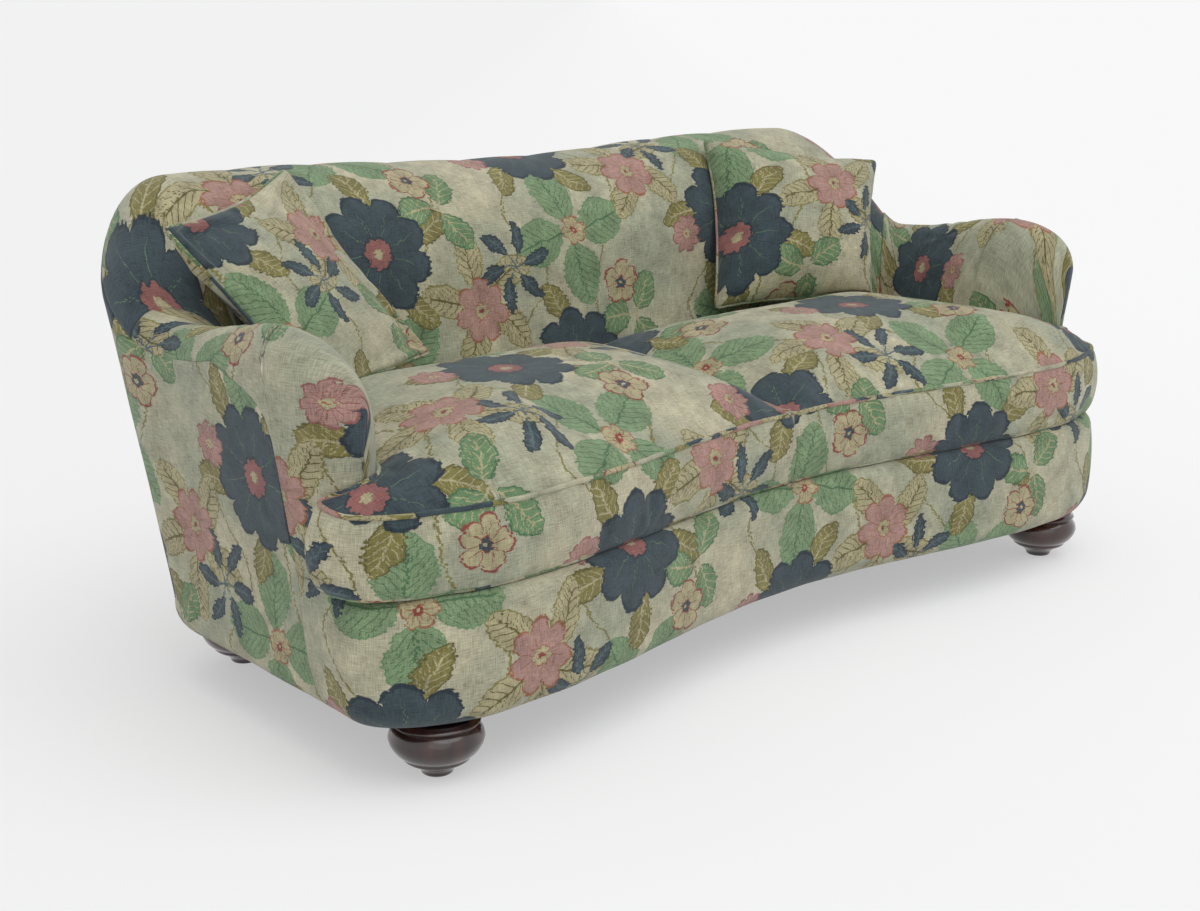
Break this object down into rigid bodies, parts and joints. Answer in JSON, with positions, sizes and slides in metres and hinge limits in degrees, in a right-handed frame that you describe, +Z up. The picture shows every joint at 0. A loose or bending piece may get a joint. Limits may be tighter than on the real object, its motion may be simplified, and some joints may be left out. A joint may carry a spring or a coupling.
{
  "type": "cabriole sofa",
  "caption": "Padded sofa whose back runs round into its arms in one curve, with loose T-shaped seat cushions, scatter cushions and turned bun feet.",
  "frame": {"origin": "on the floor, under the middle of the sofa's bounding box", "axes": "+X along the sofa's length, +Y towards its back, +Z up; the seat's front faces -Y"},
  "size_m": [1.9686, 0.9456, 0.8666],
  "materials": {
    "frame_wood": "sawn hardwood, unfinished",
    "foot_wood": "dark mahogany stain, gloss lacquer",
    "spring_steel": "plain spring steel",
    "printed_linen": "woven linen with a floral print on a pale sage ground",
    "padding": "fibre and foam padding",
    "platform_cloth": "plain woven lining",
    "black_cloth": "thin black dust cloth",
    "webbing": "woven jute webbing"
  },
  "bodies": {
    "sofa": {"front_rail": "frame_wood", "side_rail_right": "frame_wood", "side_rail_left": "frame_wood", "back_seat_rail": "frame_wood", "arm_post_front_right": "frame_wood", "arm_post_front_left": "frame_wood", "arm_post_rear_right": "frame_wood", "arm_post_rear_left": "frame_wood", "arm_top_rail_right": "frame_wood", "arm_top_rail_left": "frame_wood", "arm_lower_rail_right": "frame_wood", "arm_lower_rail_left": "frame_wood", "back_post_right": "frame_wood", "back_post_left": "frame_wood", "back_top_rail": "frame_wood", "back_lower_rail": "frame_wood", "back_upright_right": "frame_wood", "back_upright_left": "frame_wood", "back_upright_middle": "frame_wood", "seat_stretcher_middle": "frame_wood", "seat_stretcher_right": "frame_wood", "seat_stretcher_left": "frame_wood", "corner_block_front_right": "frame_wood", "corner_block_front_left": "frame_wood", "corner_block_rear_right": "frame_wood", "corner_block_rear_left": "frame_wood", "back_web_right": "webbing", "back_web_left": "webbing", "bun_foot_front_right": "foot_wood", "bun_foot_front_left": "foot_wood", "bun_foot_rear_right": "foot_wood", "bun_foot_rear_left": "foot_wood", "foot_bolt_front_right": "spring_steel", "foot_bolt_front_left": "spring_steel", "foot_bolt_rear_right": "spring_steel", "foot_bolt_rear_left": "spring_steel", "seat_spring_1_right": "spring_steel", "seat_spring_1_left": "spring_steel", "seat_spring_2_right": "spring_steel", "seat_spring_2_left": "spring_steel", "seat_spring_3_right": "spring_steel", "seat_spring_3_left": "spring_steel", "seat_spring_4_right": "spring_steel", "seat_spring_4_left": "spring_steel", "seat_platform": "platform_cloth", "dust_cover": "black_cloth", "arm_padding_right": "padding", "arm_padding_left": "padding", "back_padding": "padding", "front_border": "printed_linen", "outside_arm_panel_right": "printed_linen", "outside_arm_panel_left": "printed_linen", "outside_back_panel": "printed_linen", "inside_arm_cover_right": "printed_linen", "inside_arm_cover_left": "printed_linen", "inside_back_cover": "printed_linen"},
    "seat_cushion_right_body": {"seat_cushion_right": "printed_linen"},
    "seat_cushion_left_body": {"seat_cushion_left": "printed_linen"},
    "scatter_cushion_right_body": {"scatter_cushion_right": "printed_linen"},
    "scatter_cushion_left_body": {"scatter_cushion_left": "printed_linen"}
  },
  "joints": [
    {"name": "seat_cushion_right_lift", "type": "slide", "parent": "sofa", "child": "seat_cushion_right_body", "axis": [0, -0.7071, 0.7071], "range_m": [0, 0.85]},
    {"name": "scatter_cushion_right_lift", "type": "slide", "parent": "seat_cushion_right_body", "child": "scatter_cushion_right_body", "axis": [0, -0.7071, 0.7071], "range_m": [0, 0.6]},
    {"name": "seat_cushion_left_lift", "type": "slide", "parent": "sofa", "child": "seat_cushion_left_body", "axis": [0, -0.7071, 0.7071], "range_m": [0, 0.85]},
    {"name": "scatter_cushion_left_lift", "type": "slide", "parent": "seat_cushion_left_body", "child": "scatter_cushion_left_body", "axis": [0, -0.7071, 0.7071], "range_m": [0, 0.6]}
  ]
}
